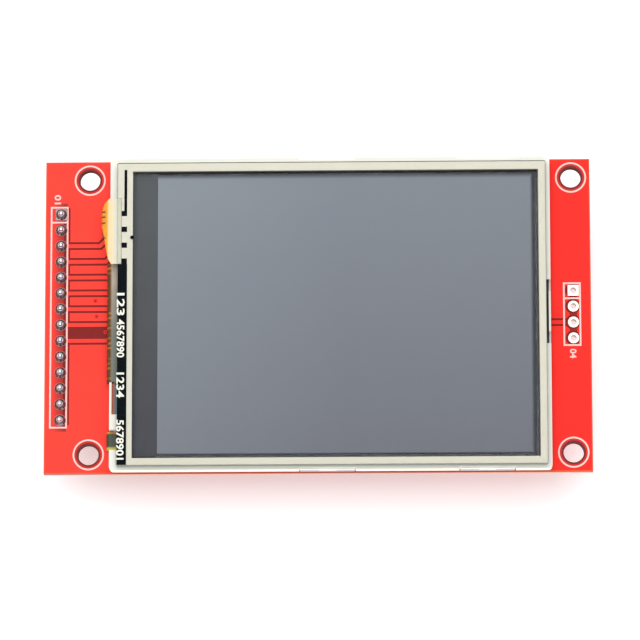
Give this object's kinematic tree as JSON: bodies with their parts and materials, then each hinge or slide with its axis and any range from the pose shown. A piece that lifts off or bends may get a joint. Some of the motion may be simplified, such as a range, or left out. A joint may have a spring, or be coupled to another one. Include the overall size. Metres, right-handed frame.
{
  "type": "tft display module",
  "caption": "Colour touch-screen display on a red circuit board, with a pin header and a memory card socket on its back.",
  "frame": {"origin": "centre of the four mounting holes, on the back face of the circuit board", "axes": "+X along the board away from the pin header, +Y across it, +Z out of the display"},
  "size_m": [0.086, 0.05, 0.0139],
  "materials": {
    "solder_mask": "glossy red solder mask",
    "tinned_copper": "tinned, satin",
    "white_print": "thin white print",
    "header_plastic": "satin",
    "pin_gold": "plated",
    "solder": "bright",
    "foam": "matt foam tape",
    "steel": "stamped sheet",
    "white_frame": "satin moulding",
    "white_sheet": "matt film",
    "clear_acrylic": "polished",
    "led": "phosphor",
    "flex_amber": "polyimide film",
    "black_tape": "matt tape",
    "polarizer": "anti-glare film",
    "display_glass": "polished",
    "silicon": "polished",
    "adhesive": "clear to cream adhesive",
    "touch_clear": "clear",
    "cream_print": "cream spacer",
    "black_print": "printed strip",
    "socket_plastic": "moulded",
    "socket_shell": "stamped, plated",
    "contact_gold": "plated spring",
    "chip_plastic": "moulded",
    "resistor_body": "coated",
    "capacitor_body": "ceramic"
  },
  "bodies": {
    "root": {"pcb": "solder_mask", "header_pads": "tinned_copper", "open_pads": "tinned_copper", "back_pads": "tinned_copper", "flex_pads": "tinned_copper", "front_silkscreen": "white_print", "back_silkscreen": "white_print", "header_body": "header_plastic", "header_pins": "pin_gold", "solder_joints": "solder", "foam_tape": "foam", "steel_tray": "steel", "lcd_frame": "white_frame", "reflector_sheet": "white_sheet", "light_guide": "clear_acrylic", "backlight_leds": "led", "backlight_flex": "flex_amber", "diffuser_sheet": "white_sheet", "prism_sheet_lower": "white_sheet", "prism_sheet_upper": "white_sheet", "rim_tape": "black_tape", "rear_polarizer": "polarizer", "rear_glass": "display_glass", "front_glass": "display_glass", "front_polarizer": "polarizer", "driver_chip": "silicon", "ledge_tape": "black_tape", "main_flex": "flex_amber", "touch_adhesive": "adhesive", "touch_glass": "touch_clear", "touch_spacer": "cream_print", "touch_margin_strip": "black_print", "touch_film": "touch_clear", "touch_flex": "flex_amber", "sd_body": "socket_plastic", "sd_shell": "socket_shell", "sd_contacts": "contact_gold", "touch_controller": "chip_plastic", "regulator": "chip_plastic", "transistor": "chip_plastic", "chip_leads": "tinned_copper", "chip_resistors": "resistor_body", "chip_capacitors": "capacitor_body", "chip_terminals": "tinned_copper"}
  },
  "joints": []
}
